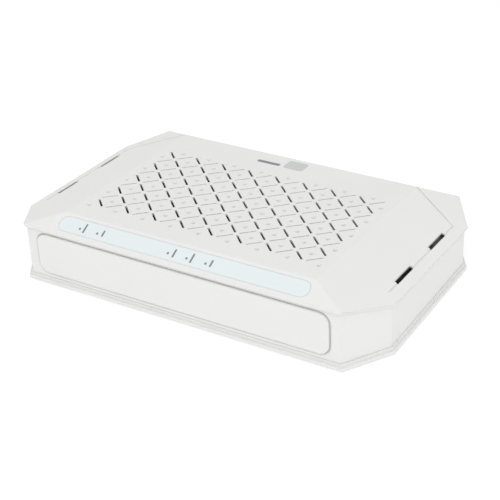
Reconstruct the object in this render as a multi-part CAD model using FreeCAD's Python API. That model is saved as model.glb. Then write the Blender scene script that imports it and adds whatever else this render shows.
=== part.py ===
import FreeCAD, Part
import math
import os

# Optical network terminal: a flat white eight-sided box with a faceted vented lid.
# Millimetres. +X runs along the indicator side, +Y towards the ports, +Z is up.
# The origin is on the table, under the middle of the box.

Vector = FreeCAD.Vector

# ---- outline of the box, seen from above ----
body_width = 170.0
body_depth = 107.0
corner_cut_x = 12.0
corner_cut_y = 19.2

# ---- lid heights at the indicator side: lip above the underside of the tray, the rest from the lip ----
foot_height = 0.8
lip_height = 25.4
panel_rise = 5.1
wing_edge_drop = 1.5
lid_fall = 3.4

# ---- flat panel and wings of the lid ----
wing_reach = 27.3
front_facet_depth = 9.5
wing_edge_width = 4.7
wing_corner_depth = 23.7
lid_wall = 2.0
side_wall = 2.0
wall_setback = 1.3
flare_height = 2.5
lip_edge = 1.2
lip_underside_rise = 0.2
front_wall_setback = 0.9
front_wall = 1.8

# ---- vent pattern ----
vent_pitch = 13.33
vent_shift_y = -4.2
slit_length = 6.7
slit_width = 0.9
cross_groove_width = 0.6
cross_groove_depth = 0.45
dimple_radius = 1.15
dimple_hole_radius = 0.35
dimple_depth = 0.6
vent_side_border = 5.0
vent_front_border = 10.0
vent_field_border = 1.5
vent_field_wall = 1.0

# ---- slots and groove along the edge of each wing ----
side_slot_middle_gap = 8.2
side_slot_end_gap = 7.6
side_slot_width = 1.9
side_slot_wall = 0.8
side_slot_relief = 2.5
groove_width = 0.7
groove_depth = 0.35

# ---- tray ----
floor_thickness = 2.4
flange_overhang = 0.3
flange_height = 1.3
ledge_setback = 0.6
rim_gap = 0.25
rim_wall = 1.4
rim_height = 3.4
foot_radius = 5.0
foot_recess = 0.6
foot_side_margin = 19.0
foot_end_margin = 15.5
keyhole_spacing = 80.0
keyhole_head_radius = 4.0
keyhole_neck_radius = 2.0
keyhole_run = 8.0
plate_label_width = 56.0
plate_label_depth = 30.0
plate_label_thickness = 0.2
floor_vent_width = 1.6
floor_vent_length = 22.0
floor_vent_step = 5.0
floor_vent_count = 9

# ---- blank panel in the front wall ----
blank_side_margin = 5.7
blank_top_margin = 1.8
blank_bottom = 4.4
blank_corner = 4.5
blank_groove = 0.35
blank_rim_chamfer = 0.6
blank_thickness = 1.2
blank_proud = 0.3
blank_ledge = 2.0
tongue_end_margin = 9.3
tongue_width = 8.0
tongue_height = 3.0
tongue_reach = 0.6

# ---- rear panel ----
rear_opening_margin = 11.0
rear_panel_margin = 3.5
rear_panel_top_gap = 0.15
rear_panel_thickness = 1.8
port_gap = 0.2

# ---- case screws and towers ----
case_screw_side_margin = 11.0
case_screw_end_margin = 26.5
tower_radius = 3.4
tower_height = 7.0
case_screw_length = 12.0
case_shank_radius = 1.2
case_head_radius = 2.6
case_head_height = 1.8
counterbore_depth = 3.6
screw_clearance = 0.35
thread_gap = 0.05
tower_pilot_extra = 1.5

# ---- main board ----
board_side_margin = 23.0
board_thickness = 1.6
board_front_gap = 0.5
board_rear_gap = 0.5
board_lift = 3.4
board_corner = 5.0
post_radius = 3.0
post_side_margin = 7.0
post_front_margin = 12.3
post_rear_margin = 27.9
board_screw_length = 5.0
board_shank_radius = 1.0
board_head_radius = 2.4
board_head_height = 1.5
board_hole_radius = 1.6

# ---- indicators and light guide ----
indicator_places = [-47.0, -38.4, -4.5, 4.1, 12.7]
indicator_line = 4.25
indicator_length = 2.0
indicator_width = 1.25
indicator_height = 0.8
pillar_radius = 1.15
window_gap = 0.15
pillar_gap = 0.2
guide_bar_height = 1.8
guide_bar_lift = 5.0
guide_bar_depth = 2.2
guide_leg_radius = 1.0
guide_leg_places = [-29.0, -16.0]

# ---- film label on the front facet ----
film_end_margin = 0.4
film_depth = 7.2
film_corner = 3.3
film_thickness = 0.2
film_recess = 0.25
film_gap = 0.08
film_up_facet = 5.4

# ---- network jacks ----
jack_places = [2.0, 20.0]
jack_width = 15.9
jack_height = 13.0
jack_depth = 21.3
jack_socket_width = 11.8
jack_socket_height = 8.2
jack_socket_depth = 15.0
jack_socket_lift = 3.2
latch_width = 6.2
latch_height = 1.9
contact_count = 8
contact_pitch = 1.02
contact_width = 0.45
contact_length = 9.0

# ---- optical parts ----
fibre_x = -20.0
adapter_width = 12.8
adapter_height = 10.2
adapter_depth = 24.0
adapter_lift = 0.6
fibre_socket_width = 9.1
fibre_socket_height = 7.5
fibre_socket_depth = 17.0
sleeve_radius = 1.6
sleeve_length = 11.0
cap_gap = 0.06
cap_plug_depth = 9.0
cap_sleeve_gap = 0.4
cap_flange_width = 12.0
cap_flange_height = 9.8
cap_flange_thickness = 1.0
cap_grip_width = 5.0
cap_grip_height = 4.0
cap_grip_reach = 2.2
module_width = 13.6
module_height = 8.0
module_depth = 19.0
module_can_radius = 3.0
module_can_length = 6.0

# ---- power parts ----
power_jack_x = -48.0
power_jack_width = 9.0
power_jack_height = 11.0
power_jack_depth = 14.2
power_bore_radius = 3.1
power_bore_depth = 9.5
power_pin_radius = 1.0
power_pin_length = 8.0
switch_x = 38.0
switch_width = 8.4
switch_height = 8.4
switch_depth = 12.0
button_radius = 3.0
button_gap = 0.3
button_reach = 2.6
button_travel = 2.0
stem_radius = 1.5
stem_gap = 0.05
stem_depth = 9.0
reset_x = 50.0
reset_width = 6.0
reset_height = 4.6
reset_depth = 4.2
reset_plunger_radius = 1.2
reset_plunger_reach = 1.4
reset_travel = 0.35
reset_hole_radius = 1.5

# ---- chips and small parts: sizes are length x, depth y, height z ----
# ---- places are x from the middle and how far the centre lies in from the board's rear edge ----
processor_size = (19.0, 19.0, 1.4)
processor_place = (6.0, 55.9)
pad_thickness = 0.5
heat_sink_size = (34.0, 30.0, 9.0)
heat_sink_base = 2.0
heat_sink_fins = 9
heat_sink_fin = 1.0
memory_size = (11.0, 8.0, 1.1)
memory_place = (-22.0, 57.9)
flash_size = (8.0, 6.0, 1.2)
flash_place = (-22.0, 71.9)
laser_driver_size = (5.0, 5.0, 0.9)
laser_driver_place = (-34.0, 41.9)
transformer_size = (24.0, 9.0, 5.6)
transformer_jack_gap = 8.3
regulator_size = (5.0, 4.2, 1.5)
regulator_place = (-47.0, 53.9)
coil_size = (7.3, 7.3, 4.2)
coil_places = [(-47.0, 43.9), (-47.0, 63.9)]
coil_top_radius = 2.9
capacitor_radius = 4.0
capacitor_height = 11.5
capacitor_places = [(-48.0, 33.9), (-38.0, 30.9)]
capacitor_dish = 0.4
crystal_size = (11.0, 4.6, 3.5)
crystal_place = (31.0, 69.9)
header_pins = 4
header_pitch = 2.54
header_place = (38.0, 77.9)
header_block = 2.5
header_pin_side = 0.64
header_pin_height = 8.5

# ---- levels that follow from the sizes above ----
underside = foot_height
floor_top = underside + floor_thickness
lip_z = underside + lip_height
panel_z = lip_z + panel_rise
wing_edge_z = lip_z - wing_edge_drop
lip_underside = lip_z - lip_edge
board_bottom = floor_top + board_lift
board_top = board_bottom + board_thickness
rear_opening_top = board_top + jack_height + port_gap

half_width = body_width / 2.0
half_depth = body_depth / 2.0
panel_half_width = half_width - wing_reach
panel_half_depth = half_depth - front_facet_depth
wing_half_width = half_width - wing_edge_width
wing_half_depth = half_depth - wing_corner_depth
wall_y = half_depth - wall_setback
cavity_inset = wall_setback + side_wall
cavity_y = half_depth - cavity_inset
front_face_y = -(half_depth - front_wall_setback)
front_inside_y = front_face_y + front_wall
front_wall_top = lip_underside - lip_underside_rise
rear_panel_face = cavity_y
rear_panel_back = rear_panel_face - rear_panel_thickness
board_front = front_inside_y + board_front_gap
board_rear = rear_panel_back - board_rear_gap
indicator_y = -half_depth + indicator_line
straight_half_width = half_width - corner_cut_x
blank_half_width = straight_half_width - blank_side_margin
blank_height = front_wall_top - blank_top_margin - underside - blank_bottom
tongue_offset = blank_half_width - tongue_end_margin
rear_opening_half_width = straight_half_width - rear_opening_margin
film_half_width = panel_half_width - film_end_margin
board_half_width = half_width - board_side_margin
post_x = board_half_width - post_side_margin
post_front_y = board_front + post_front_margin
post_rear_y = board_rear - post_rear_margin
case_screw_x = half_width - case_screw_side_margin
case_screw_y = half_depth - case_screw_end_margin
foot_x = half_width - foot_side_margin
foot_y = half_depth - foot_end_margin
side_slot_length = wing_half_depth - side_slot_end_gap - side_slot_middle_gap
side_slot_offset = side_slot_middle_gap + side_slot_length / 2.0


def box(x0, x1, y0, y1, z0, z1):
    return Part.makeBox(x1 - x0, y1 - y0, z1 - z0, Vector(x0, y0, z0))


def standing_box(x, y, size, z):
    """A block of the given size, centred on x and y, standing on level z."""
    return box(x - size[0] / 2, x + size[0] / 2, y - size[1] / 2, y + size[1] / 2, z, z + size[2])


def post(x, y, z0, z1, radius):
    return Part.makeCylinder(radius, z1 - z0, Vector(x, y, z0))


def rod(x, z, y0, y1, radius):
    """A round bar lying along Y."""
    return Part.makeCylinder(radius, y1 - y0, Vector(x, y0, z), Vector(0, 1, 0))


def prism(points, z0, z1):
    corners = [Vector(x, y, z0) for x, y in points]
    face = Part.Face(Part.makePolygon(corners + corners[:1]))
    return face.extrude(Vector(0, 0, z1 - z0))


def joined(shapes):
    result = shapes[0]
    if len(shapes) > 1:
        result = result.fuse(shapes[1:])
    return result.removeSplitter()


def outline(inset):
    """Corner points of the eight-sided outline, moved in by the same distance all round."""
    slant = math.hypot(corner_cut_x, corner_cut_y)
    change = inset * (slant - corner_cut_x - corner_cut_y)
    cut_x = corner_cut_x + change / corner_cut_y
    cut_y = corner_cut_y + change / corner_cut_x
    x = half_width - inset
    y = half_depth - inset
    return [(-x + cut_x, -y), (x - cut_x, -y), (x, -y + cut_y), (x, y - cut_y),
            (x - cut_x, y), (-x + cut_x, y), (-x, y - cut_y), (-x, -y + cut_y)]


def outline_prism(inset, z0, z1):
    return prism(outline(inset), z0, z1)


def shell_outline(inset, front_inset):
    """The outline moved in by inset, but with its front side only front_inset from the lip."""
    forward = inset - front_inset
    narrower = forward * corner_cut_x / corner_cut_y
    points = outline(inset)
    left, right = points[0], points[1]
    points[0] = (left[0] + narrower, left[1] - forward)
    points[1] = (right[0] - narrower, right[1] - forward)
    return points


def half_space(point, normal):
    """A block far larger than the box, whose flat bottom passes through point, facing normal."""
    reach = 4.0 * (body_width + body_depth)
    block = Part.makeBox(reach, reach, reach, Vector(-reach / 2, -reach / 2, 0))
    block.Placement = FreeCAD.Placement(point, FreeCAD.Rotation(Vector(0, 0, 1), normal))
    return block


def normal_of(a, b, c):
    normal = (b - a).cross(c - a)
    normal.normalize()
    return normal


def upward(normal):
    return normal if normal.z > 0 else normal * -1.0


def mirrored(vector, side_x, side_y):
    return Vector(vector.x * side_x, vector.y * side_y, vector.z)


def fallen(vector):
    """The same point of the lid, lowered as the whole lid falls evenly towards the rear."""
    return Vector(vector.x, vector.y, vector.z - lid_fall * (vector.y + half_depth) / body_depth)


panel_corner = Vector(panel_half_width, -panel_half_depth, panel_z)
wing_corner = Vector(wing_half_width, -wing_half_depth, wing_edge_z)
lip_corner = Vector(half_width - corner_cut_x, -half_depth, lip_z)
corner_normal = upward(normal_of(panel_corner, wing_corner, lip_corner))


def corner_facet_height(x, y):
    """Height of the sloping corner facet above the point x, y."""
    run = corner_normal.x * (x - panel_corner.x) + corner_normal.y * (y - panel_corner.y)
    return panel_corner.z - run / corner_normal.z


ridge_corner = Vector(half_width, -half_depth + corner_cut_y, 0)
ridge_corner.z = corner_facet_height(ridge_corner.x, ridge_corner.y)


def roof_planes():
    """One point and one upward normal for each flat facet of the lid."""
    panel_rear = mirrored(panel_corner, 1, -1)
    facets = [(panel_corner, panel_rear, mirrored(panel_corner, -1, 1))]
    for side in (1, -1):
        facets.append([mirrored(p, 1, side) for p in (panel_corner, lip_corner, mirrored(lip_corner, -1, 1))])
        facets.append([mirrored(p, side, 1) for p in (panel_corner, wing_corner, panel_rear)])
        facets.append([mirrored(p, side, 1) for p in (wing_corner, ridge_corner, mirrored(ridge_corner, 1, -1))])
        for other in (1, -1):
            facets.append([mirrored(p, side, other) for p in (panel_corner, wing_corner, lip_corner)])
    planes = []
    for facet in facets:
        a, b, c = [fallen(point) for point in facet]
        planes.append((a, upward(normal_of(a, b, c))))
    return planes


def roofed(points, z0, drop):
    """The upright block on the given outline, under the lid's facets sunk by drop."""
    block = prism(points, z0, panel_z + 1.0)
    for point, normal in roof_planes():
        block = block.cut(half_space(point - normal * drop, normal))
    return block


def under_slope(point, along, inward, rise):
    """The space under a face that leans in from point by inward while it drops by rise."""
    normal = along.cross(inward - Vector(0, 0, rise))
    if normal.z > 0:
        normal = normal * -1.0
    return half_space(point, normal)


def flared_top():
    """The top of the lid, which leans out from the walls to its own outline."""
    block = roofed(outline(0), underside, 0)
    for side in (1, -1):
        ridge = [fallen(mirrored(ridge_corner, side, end)) for end in (1, -1)]
        inward = Vector(-side * wall_setback, 0, 0)
        block = block.cut(under_slope(ridge[0], ridge[1] - ridge[0], inward, flare_height))
        lip_side = fallen(mirrored(Vector(0, -half_depth, lip_underside), 1, side))
        inward = Vector(0, side * front_wall_setback, 0)
        block = block.cut(under_slope(lip_side, Vector(1, 0, 0), inward, lip_underside_rise))
        for end in (1, -1):
            lip = fallen(mirrored(lip_corner, side, end))
            ridge_end = fallen(mirrored(ridge_corner, side, end))
            inward = Vector(-side * corner_cut_y, end * corner_cut_x, 0)
            inward.normalize()
            block = block.cut(under_slope(lip, ridge_end - lip, inward * wall_setback, flare_height))
    return block


def vent_field_cutter(half_x, half_y):
    """A shallow pocket inside the lid, so that the vented field is thinner than the rest."""
    block = box(-half_x, half_x, vent_shift_y - half_y, vent_shift_y + half_y, underside, panel_z)
    point, normal = roof_planes()[0]
    return block.cut(half_space(point - normal * vent_field_wall, normal))


def on_panel(shape, x, y, turn):
    """Move a shape drawn about the Z axis, with the lid's face on z = 0, onto the flat panel."""
    tilt = math.degrees(math.atan2(lid_fall, body_depth))
    turned = FreeCAD.Rotation(Vector(1, 0, 0), -tilt).multiply(FreeCAD.Rotation(Vector(0, 0, 1), turn))
    shape.Placement = FreeCAD.Placement(fallen(Vector(x, y, panel_z)), turned)
    return shape


def flat_slot(width, depth):
    """A straight cut as long as a vent slit, sunk by depth below z = 0."""
    return box(-slit_length / 2, slit_length / 2, -width / 2, width / 2, -depth, 1.0)


def dimple():
    """A shallow round dish that narrows to a small hole through the lid."""
    dish = Part.makeCone(dimple_hole_radius, dimple_radius, dimple_depth, Vector(0, 0, -dimple_depth))
    return joined([dish, post(0, 0, 0, 1.0, dimple_radius),
                   post(0, 0, -lid_wall - 1.0, -dimple_depth / 2.0, dimple_hole_radius)])


def vent_cutters():
    """Open slits along one diagonal of a square lattice, grooves along the other, dimples between."""
    step = vent_pitch / 2.0
    slit_reach = slit_length / 2.0 * math.sqrt(0.5)
    slit_columns = 2 * int((panel_half_width - vent_side_border - slit_reach) / step + 0.5)
    slit_rows = 2 * int((panel_half_depth + vent_shift_y - vent_front_border - slit_reach) / step) + 1
    border = slit_reach + vent_field_border
    cutters = [vent_field_cutter((slit_columns - 1) / 2.0 * step + border,
                                 (slit_rows - 1) / 2.0 * step + border)]

    def place(column, row):
        x = (column - (slit_columns - 1) / 2.0) * step
        y = (row - (slit_rows - 1) / 2.0) * step + vent_shift_y
        return x, y

    for row in range(slit_rows):
        for column in range(slit_columns):
            x, y = place(column, row)
            if (row + column) % 2 == 0:
                cutters.append(on_panel(flat_slot(slit_width, lid_wall + 1.0), x, y, -45.0))
            else:
                cutters.append(on_panel(flat_slot(cross_groove_width, cross_groove_depth), x, y, 45.0))
    for row in range(-1, slit_rows):
        for column in range(-1, slit_columns):
            if (row + column) % 2 == 0:
                x, y = place(column + 0.5, row + 0.5)
                cutters.append(on_panel(dimple(), x, y, 0))
    return cutters


def slot_relief(side, middle, inner, outer):
    """A pocket below one wing slot, so that the lid is thin at its edges."""
    ends = side_slot_length / 2 + side_slot_relief
    x = inner - side * side_slot_relief
    block = box(min(x, outer), max(x, outer), middle - ends, middle + ends, floor_top + rim_height, panel_z)
    a, b, c = [fallen(mirrored(point, side, 1)) for point in
               (panel_corner, wing_corner, mirrored(panel_corner, 1, -1))]
    normal = upward(normal_of(a, b, c))
    return block.cut(half_space(a - normal * side_slot_wall, normal))


def groove_cutter(start, end):
    """A narrow channel sunk below the straight line from start to end."""
    along = end - start
    flat = Vector(along.x, along.y, 0)
    side = Vector(-flat.y, flat.x, 0)
    side.normalize()
    half = side * (groove_width / 2.0)
    sunk = Vector(0, 0, -groove_depth)
    corners = [start - half + sunk, start + half + sunk, end + half + sunk, end - half + sunk]
    face = Part.Face(Part.makePolygon(corners + corners[:1]))
    return face.extrude(Vector(0, 0, 4.0 * groove_depth))


def wing_cutters():
    cutters = []
    for side in (1, -1):
        front = fallen(mirrored(wing_corner, side, 1))
        rear = fallen(mirrored(wing_corner, side, -1))
        cutters.append(groove_cutter(front, rear))
        cutters.append(groove_cutter(rear, fallen(mirrored(panel_corner, side, -1))))
        outer = side * (wing_half_width + groove_width / 2.0)
        inner = side * (wing_half_width + groove_width / 2.0 - side_slot_width)
        for middle in (-side_slot_offset, side_slot_offset):
            cutters.append(box(min(inner, outer), max(inner, outer), middle - side_slot_length / 2,
                               middle + side_slot_length / 2, floor_top + rim_height, panel_z))
            cutters.append(slot_relief(side, middle, inner, outer))
    return cutters


def on_facet(shape):
    """Move a shape drawn flat, with its base on z = 0, onto the front facet."""
    slope = math.atan2(fallen(panel_corner).z - lip_z, front_facet_depth)
    turn = FreeCAD.Rotation(Vector(1, 0, 0), math.degrees(slope))
    place = FreeCAD.Placement(Vector(0, -half_depth, lip_z), turn)
    shape.Placement = place.multiply(shape.Placement)
    return shape


def rounded_block(half_x, half_y, corner, z0, z1):
    """A flat block with rounded upright corners, centred on the Z axis."""
    bars = [box(-half_x + corner, half_x - corner, -half_y, half_y, z0, z1),
            box(-half_x, half_x, -half_y + corner, half_y - corner, z0, z1)]
    for x in (-half_x + corner, half_x - corner):
        for y in (-half_y + corner, half_y - corner):
            bars.append(post(x, y, z0, z1, corner))
    return joined(bars)


def film_shape(extra, z0, z1):
    shape = rounded_block(film_half_width + extra, film_depth / 2 + extra, film_corner + extra, z0, z1)
    shape.translate(Vector(0, film_up_facet, 0))
    return on_facet(shape)


def led_film():
    return film_shape(0, -film_recess, -film_recess + film_thickness)


def indicator_windows():
    return [post(x, indicator_y, board_top + guide_bar_lift, panel_z, pillar_radius + window_gap)
            for x in indicator_places]


def tower_places():
    return [(x, y) for x in (-case_screw_x, case_screw_x) for y in (-case_screw_y, case_screw_y)]


def top_cover():
    wall = roofed(shell_outline(wall_setback, front_wall_setback), floor_top, 0)
    solid = joined([wall, flared_top()])
    solid = solid.cut(outline_prism(-1.0, underside - 1.0, floor_top))
    cavity_outline = shell_outline(cavity_inset, front_wall_setback + front_wall)
    solid = solid.cut(roofed(cavity_outline, underside - 1.0, lid_wall))
    tower_bottom = floor_top + tower_height
    under_roof = roofed(outline(cavity_inset - side_wall / 2), underside - 1.0, lid_wall / 2)
    towers = [post(x, y, tower_bottom, panel_z, tower_radius).common(under_roof) for x, y in tower_places()]
    solid = joined([solid] + towers)
    pilot_top = underside + counterbore_depth + case_screw_length + tower_pilot_extra
    cutters = [post(x, y, tower_bottom - 1.0, pilot_top, case_shank_radius + thread_gap)
               for x, y in tower_places()]
    cutters += blank_cutters()
    cutters.append(box(-rear_opening_half_width, rear_opening_half_width, cavity_y - 0.5, wall_y,
                       underside - 1.0, rear_opening_top))
    cutters += vent_cutters()
    cutters += wing_cutters()
    cutters += indicator_windows()
    cutters.append(film_shape(film_gap, -film_recess, film_recess))
    return solid.cut(Part.makeCompound(cutters)).Solids[0]


def keyhole_cutters():
    cutters = []
    for x in (-keyhole_spacing / 2, keyhole_spacing / 2):
        low, high = underside - 1.0, floor_top + 1.0
        cutters.append(post(x, 0, low, high, keyhole_head_radius))
        cutters.append(post(x, -keyhole_run, low, high, keyhole_neck_radius))
        cutters.append(box(x - keyhole_neck_radius, x + keyhole_neck_radius, -keyhole_run, 0, low, high))
    return cutters


def post_places():
    return [(x, y) for x in (-post_x, post_x) for y in (post_front_y, post_rear_y)]


def foot_places():
    return [(x, y) for x in (-foot_x, foot_x) for y in (-foot_y, foot_y)]


def base_tray():
    flange = outline_prism(-flange_overhang, underside, underside + flange_height)
    ledge = outline_prism(ledge_setback, underside, floor_top)
    rim_outer = outline_prism(cavity_inset + rim_gap, underside + floor_thickness / 2, floor_top + rim_height)
    rim_inner = outline_prism(cavity_inset + rim_gap + rim_wall, floor_top, floor_top + rim_height + 1.0)
    rim = rim_outer.cut(rim_inner)
    rear_gap = rear_opening_half_width + rear_panel_margin + 1.0
    rim = rim.cut(box(-rear_gap, rear_gap, rear_panel_back - port_gap, half_depth, floor_top, panel_z))
    parts = [flange, ledge, rim]
    parts += [post(x, y, floor_top - 1.0, floor_top + tower_height, tower_radius) for x, y in tower_places()]
    parts += [post(x, y, floor_top - 1.0, board_bottom, post_radius) for x, y in post_places()]
    solid = joined(parts)
    cutters = keyhole_cutters()
    for x, y in tower_places():
        cutters.append(post(x, y, underside - 1.0, underside + counterbore_depth,
                            case_head_radius + screw_clearance))
        cutters.append(post(x, y, underside, panel_z, case_shank_radius + screw_clearance))
    for x, y in post_places():
        cutters.append(post(x, y, floor_top, panel_z, board_shank_radius + thread_gap))
    for x, y in foot_places():
        cutters.append(post(x, y, underside - 1.0, underside + foot_recess, foot_radius + 0.2))
    cutters.append(box(-plate_label_width / 2 - 0.3, plate_label_width / 2 + 0.3,
                       -plate_label_depth - 0.3 + rating_label_y(), 0.3 + rating_label_y(),
                       underside - 1.0, underside + 2 * plate_label_thickness))
    for index in range(floor_vent_count):
        x = (index - (floor_vent_count - 1) / 2.0) * floor_vent_step
        cutters.append(box(x - floor_vent_width / 2, x + floor_vent_width / 2, 6.0, 6.0 + floor_vent_length,
                           underside - 1.0, floor_top + 1.0))
    return solid.cut(Part.makeCompound(cutters)).Solids[0]


def rating_label_y():
    """Rear edge of the blank plate label under the tray."""
    return -keyhole_run - keyhole_neck_radius - 3.0


def rating_label():
    return box(-plate_label_width / 2, plate_label_width / 2, rating_label_y() - plate_label_depth,
               rating_label_y(), underside + plate_label_thickness, underside + 2 * plate_label_thickness)


def rubber_foot(index):
    x, y = foot_places()[index]
    return post(x, y, 0, underside + foot_recess, foot_radius)


def blank_rim():
    """The sloping rim of the pocket, wider at the front face than inside."""
    wires = []
    for extra, depth in ((blank_groove, blank_rim_chamfer), (blank_groove + blank_rim_chamfer, 0)):
        plate = rounded_block(blank_half_width + extra, blank_height / 2 + extra, blank_corner + extra, 0, 1.0)
        bottom = min(plate.Faces, key=lambda face: face.CenterOfMass.z)
        wire = bottom.OuterWire
        wire.rotate(Vector(0, 0, 0), Vector(1, 0, 0), 90)
        wire.translate(Vector(0, front_face_y + depth, underside + blank_bottom + blank_height / 2))
        wires.append(wire)
    return Part.makeLoft(wires, True, True)


def blank_cutters():
    """The pocket that the blank panel clips into, its sloping rim, and the window behind it."""
    pocket = blank_outline(blank_groove, front_face_y - 1.0, front_face_y + blank_thickness - blank_proud)
    window = blank_outline(-blank_ledge, front_face_y - 1.0, front_inside_y + 1.0)
    return [pocket, window, blank_rim()]


def blank_outline(extra, y0, y1):
    """The rounded outline of the blank panel as an upright plate between y0 and y1."""
    half_height = blank_height / 2 + extra
    plate = rounded_block(blank_half_width + extra, half_height, blank_corner + extra, 0, y1 - y0)
    plate.rotate(Vector(0, 0, 0), Vector(1, 0, 0), 90)
    plate.translate(Vector(0, y1, underside + blank_bottom + blank_height / 2))
    return plate


def front_panel():
    face = front_face_y - blank_proud
    plate = blank_outline(0, face, face + blank_thickness)
    middle = underside + blank_bottom + blank_height / 2
    parts = [plate]
    for x in (-tongue_offset, tongue_offset):
        parts.append(box(x - tongue_width / 2, x + tongue_width / 2, face + blank_thickness / 2,
                         front_inside_y + tongue_reach, middle - tongue_height / 2,
                         middle + tongue_height / 2))
    return joined(parts)


def port_holes():
    """Through holes in the rear panel, one for each part that shows through it."""
    y0, y1 = rear_panel_back - 1.0, rear_panel_face + 1.0
    holes = []
    for x in jack_places:
        holes.append(box(x - jack_width / 2 - port_gap, x + jack_width / 2 + port_gap, y0, y1,
                         board_top - port_gap, board_top + jack_height + port_gap))
    low = board_top + adapter_lift
    holes.append(box(fibre_x - adapter_width / 2 - port_gap, fibre_x + adapter_width / 2 + port_gap, y0, y1,
                     low - port_gap, low + adapter_height + port_gap))
    holes.append(rod(power_jack_x, power_axis_z(), y0, y1, power_bore_radius + 0.6))
    holes.append(rod(switch_x, switch_axis_z(), y0, y1, button_radius + button_gap))
    holes.append(rod(reset_x, reset_axis_z(), y0, y1, reset_hole_radius))
    return holes


def rear_roof_inside(y):
    """Height of the inner face of the lid above y, near the rear lip."""
    lip = fallen(mirrored(lip_corner, 1, -1))
    panel = fallen(mirrored(panel_corner, 1, -1))
    slope = (panel.z - lip.z) / front_facet_depth
    return lip.z + slope * (half_depth - y) - lid_wall * math.hypot(1, slope)


def rear_panel():
    half = rear_opening_half_width + rear_panel_margin
    top = rear_roof_inside(rear_panel_face) - rear_panel_top_gap
    plate = box(-half, half, rear_panel_back, rear_panel_face, floor_top, top)
    return plate.cut(Part.makeCompound(port_holes())).Solids[0]


def case_screws():
    """Four screws driven up from below, as one node of loose solids."""
    screws = []
    seat = underside + counterbore_depth
    for x, y in tower_places():
        head = post(x, y, seat - case_head_height, seat, case_head_radius)
        shank = post(x, y, seat, seat + case_screw_length, case_shank_radius)
        slot = cross_slot(x, y, seat - case_head_height - 0.1, seat - case_head_height + 0.8, case_head_radius)
        screws.append(joined([head, shank]).cut(slot).Solids[0])
    return Part.makeCompound(screws)


def cross_slot(x, y, z0, z1, radius):
    reach = radius * 0.62
    blade = radius * 0.14
    bars = [box(x - reach, x + reach, y - blade, y + blade, z0, z1),
            box(x - blade, x + blade, y - reach, y + reach, z0, z1)]
    return joined(bars)


def board_screws():
    """Four screws that hold the board on its posts, as one node of loose solids."""
    screws = []
    for x, y in post_places():
        head = post(x, y, board_top, board_top + board_head_height, board_head_radius)
        shank = post(x, y, board_top + 0.2 - board_screw_length, board_top + 0.2, board_shank_radius)
        slot = cross_slot(x, y, board_top + board_head_height - 0.7, board_top + board_head_height + 0.1,
                          board_head_radius)
        screws.append(joined([head, shank]).cut(slot).Solids[0])
    return Part.makeCompound(screws)


def main_board():
    x = board_half_width
    cut = board_corner
    points = [(-x + cut, board_front), (x - cut, board_front), (x, board_front + cut), (x, board_rear - cut),
              (x - cut, board_rear), (-x + cut, board_rear), (-x, board_rear - cut), (-x, board_front + cut)]
    board = prism(points, board_bottom, board_top)
    holes = [post(px, py, board_bottom - 1.0, board_top + 1.0, board_hole_radius) for px, py in post_places()]
    return board.cut(Part.makeCompound(holes)).Solids[0]


def status_led(index):
    size = (indicator_length, indicator_width, indicator_height)
    return standing_box(indicator_places[index], indicator_y, size, board_top)


def light_guide():
    """Clear pillars that carry the light of the lamps up to the lid, tied by one bar."""
    under_film = roofed(outline(0), underside, film_recess + 0.1)
    start = board_top + indicator_height + pillar_gap
    bar_low = board_top + guide_bar_lift
    parts = [post(x, indicator_y, start, panel_z, pillar_radius).common(under_film) for x in indicator_places]
    parts.append(box(indicator_places[0] - pillar_radius, indicator_places[-1] + pillar_radius,
                     indicator_y, indicator_y + guide_bar_depth, bar_low, bar_low + guide_bar_height))
    leg_y = indicator_y + guide_bar_depth / 2
    parts += [post(x, leg_y, board_top, bar_low + 0.5, guide_leg_radius) for x in guide_leg_places]
    return joined(parts)


def jack_front():
    return rear_panel_face - 0.1


def lan_jack(index):
    x = jack_places[index]
    front = jack_front()
    body = box(x - jack_width / 2, x + jack_width / 2, front - jack_depth, front, board_top,
               board_top + jack_height)
    low = board_top + jack_socket_lift
    socket = box(x - jack_socket_width / 2, x + jack_socket_width / 2, front - jack_socket_depth, front + 1.0,
                 low, low + jack_socket_height)
    latch = box(x - latch_width / 2, x + latch_width / 2, front - jack_socket_depth, front + 1.0,
                low - latch_height, low + 0.5)
    return body.cut(joined([socket, latch])).Solids[0]


def lan_contacts(index):
    """Eight gilt wires under the roof of the socket."""
    x = jack_places[index]
    top = board_top + jack_socket_lift + jack_socket_height
    rear = jack_front() - jack_socket_depth
    wires = []
    for number in range(contact_count):
        middle = x + (number - (contact_count - 1) / 2.0) * contact_pitch
        wires.append(box(middle - contact_width / 2, middle + contact_width / 2, rear, rear + contact_length,
                         top - contact_width, top))
    return Part.makeCompound(wires)


def adapter_middle_z():
    return board_top + adapter_lift + adapter_height / 2


def sc_adapter():
    front = rear_panel_face - 0.1
    z = adapter_middle_z()
    body = box(fibre_x - adapter_width / 2, fibre_x + adapter_width / 2, front - adapter_depth, front,
               z - adapter_height / 2, z + adapter_height / 2)
    socket = box(fibre_x - fibre_socket_width / 2, fibre_x + fibre_socket_width / 2,
                 front - fibre_socket_depth, front + 1.0, z - fibre_socket_height / 2,
                 z + fibre_socket_height / 2)
    feet = [box(fibre_x - adapter_width / 2, fibre_x + adapter_width / 2, front - y - 3.0, front - y,
                board_top, z - adapter_height / 2 + 1.0) for y in (5.0, adapter_depth - 3.0)]
    return joined([body.cut(socket)] + feet)


def fibre_sleeve():
    start = rear_panel_face - 0.1 - fibre_socket_depth
    tube = rod(fibre_x, adapter_middle_z(), start, start + sleeve_length, sleeve_radius)
    return tube.cut(rod(fibre_x, adapter_middle_z(), start + 1.0, start + sleeve_length + 1.0, 0.7))


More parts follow.
